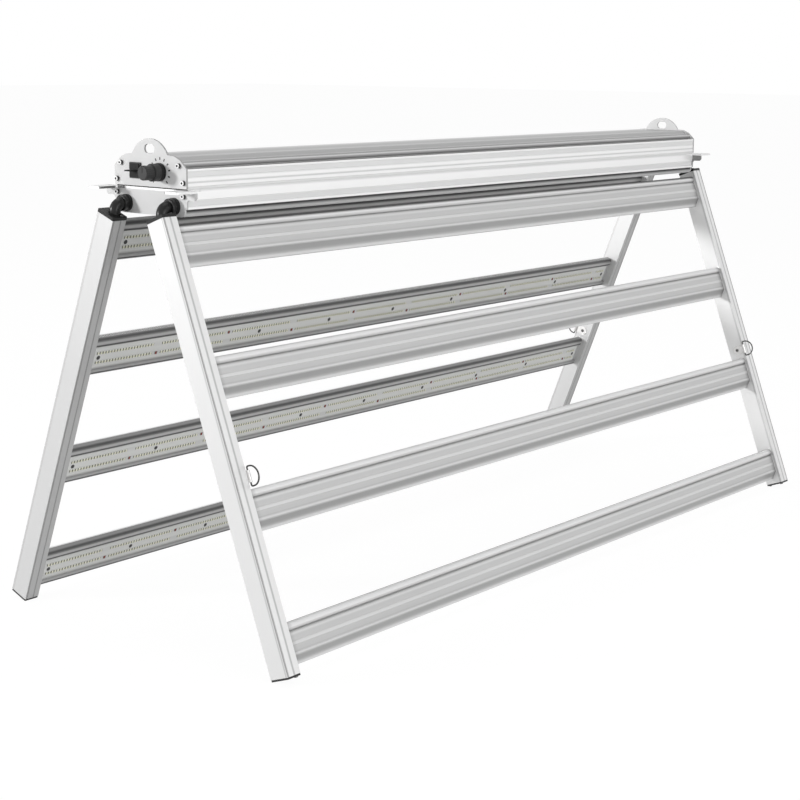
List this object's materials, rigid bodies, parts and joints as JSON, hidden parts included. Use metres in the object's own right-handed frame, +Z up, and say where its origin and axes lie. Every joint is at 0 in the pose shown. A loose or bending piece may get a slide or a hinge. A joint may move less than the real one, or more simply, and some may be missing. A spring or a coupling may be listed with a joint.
{
  "type": "led grow light",
  "caption": "Folding LED grow light: long housing with a dimmer and two hinged wings of light bars, standing as an A-frame.",
  "frame": {"origin": "on the floor under the middle of the housing, midway between the four feet", "axes": "+X along the housing away from the dimmer end, +Y across it towards the back wing, +Z up"},
  "size_m": [1.101, 0.4512, 0.5472],
  "materials": {
    "satin_aluminium": "satin anodised",
    "painted_silver": "satin silver powder coat",
    "led_board": "pale solder mask",
    "black_casting": "black powder coat",
    "black_plastic": "fine moulded grain",
    "black_rubber": "matt",
    "plated_steel": "dark zinc plate",
    "black_steel": "black oxide",
    "screw_steel": "plated",
    "driver_case": "matt"
  },
  "bodies": {
    "housing": {"control_end_plate": "painted_silver", "control_socket": "black_plastic", "control_socket_plug": "black_rubber", "dimmer_nut": "plated_steel", "dimmer_potentiometer": "plated_steel", "end_plate_screws": "black_steel", "hinge_hub_nuts": "plated_steel", "hinge_hubs": "black_casting", "led_driver": "driver_case", "lower_end_plate_far": "painted_silver", "lower_end_plate_near": "painted_silver", "lower_housing": "satin_aluminium", "plain_end_plate": "painted_silver", "stop_plate_far": "satin_aluminium", "stop_plate_near": "satin_aluminium", "upper_housing": "satin_aluminium"},
    "dimmer_knob": {"dimmer_knob": "black_plastic", "dimmer_shaft": "plated_steel"},
    "front_wing": {"front_foot_caps": "black_plastic", "front_heat_sink_1": "satin_aluminium", "front_heat_sink_2": "satin_aluminium", "front_heat_sink_3": "satin_aluminium", "front_heat_sink_4": "satin_aluminium", "front_hinge_clips": "plated_steel", "front_hinge_elbow_far": "black_casting", "front_hinge_elbow_near": "black_casting", "front_led_board_1": "led_board", "front_led_board_2": "led_board", "front_led_board_3": "led_board", "front_led_board_4": "led_board", "front_rail_cover_far": "satin_aluminium", "front_rail_cover_near": "satin_aluminium", "front_rail_far": "satin_aluminium", "front_rail_near": "satin_aluminium", "front_ring_straps": "plated_steel", "front_screws": "screw_steel"},
    "front_hanging_ring_far": {"front_hanging_ring_far": "plated_steel"},
    "front_hanging_ring_near": {"front_hanging_ring_near": "plated_steel"},
    "back_wing": {"back_foot_caps": "black_plastic", "back_heat_sink_1": "satin_aluminium", "back_heat_sink_2": "satin_aluminium", "back_heat_sink_3": "satin_aluminium", "back_heat_sink_4": "satin_aluminium", "back_hinge_clips": "plated_steel", "back_hinge_elbow_far": "black_casting", "back_hinge_elbow_near": "black_casting", "back_led_board_1": "led_board", "back_led_board_2": "led_board", "back_led_board_3": "led_board", "back_led_board_4": "led_board", "back_rail_cover_far": "satin_aluminium", "back_rail_cover_near": "satin_aluminium", "back_rail_far": "satin_aluminium", "back_rail_near": "satin_aluminium", "back_ring_straps": "plated_steel", "back_screws": "screw_steel"},
    "back_hanging_ring_far": {"back_hanging_ring_far": "plated_steel"},
    "back_hanging_ring_near": {"back_hanging_ring_near": "plated_steel"}
  },
  "joints": [
    {"name": "front_wing_hinge", "type": "hinge", "parent": "housing", "child": "front_wing", "pos_m": [0, -0.037, 0.47722], "axis": [-1, 0, 0], "range_deg": [-20.8, 69.2]},
    {"name": "back_wing_hinge", "type": "hinge", "parent": "housing", "child": "back_wing", "pos_m": [0, 0.037, 0.47722], "axis": [1, 0, 0], "range_deg": [-20.8, 69.2]},
    {"name": "dimmer_turn", "type": "hinge", "parent": "housing", "child": "dimmer_knob", "pos_m": [-0.535, -0.016, 0.51202], "axis": [-1, 0, 0], "range_deg": [-150, 150]},
    {"name": "front_ring_near_swing", "type": "hinge", "parent": "front_wing", "child": "front_hanging_ring_near", "pos_m": [-0.52905, -0.15164, 0.20669], "axis": [0, 0.3551, 0.9348], "range_deg": [-88, 150]},
    {"name": "front_ring_far_swing", "type": "hinge", "parent": "front_wing", "child": "front_hanging_ring_far", "pos_m": [0.52905, -0.15164, 0.20669], "axis": [0, -0.3551, -0.9348], "range_deg": [-88, 150]},
    {"name": "back_ring_near_swing", "type": "hinge", "parent": "back_wing", "child": "back_hanging_ring_near", "pos_m": [-0.52905, 0.15164, 0.20669], "axis": [0, 0.3551, -0.9348], "range_deg": [-88, 150]},
    {"name": "back_ring_far_swing", "type": "hinge", "parent": "back_wing", "child": "back_hanging_ring_far", "pos_m": [0.52905, 0.15164, 0.20669], "axis": [0, -0.3551, 0.9348], "range_deg": [-88, 150]}
  ]
}
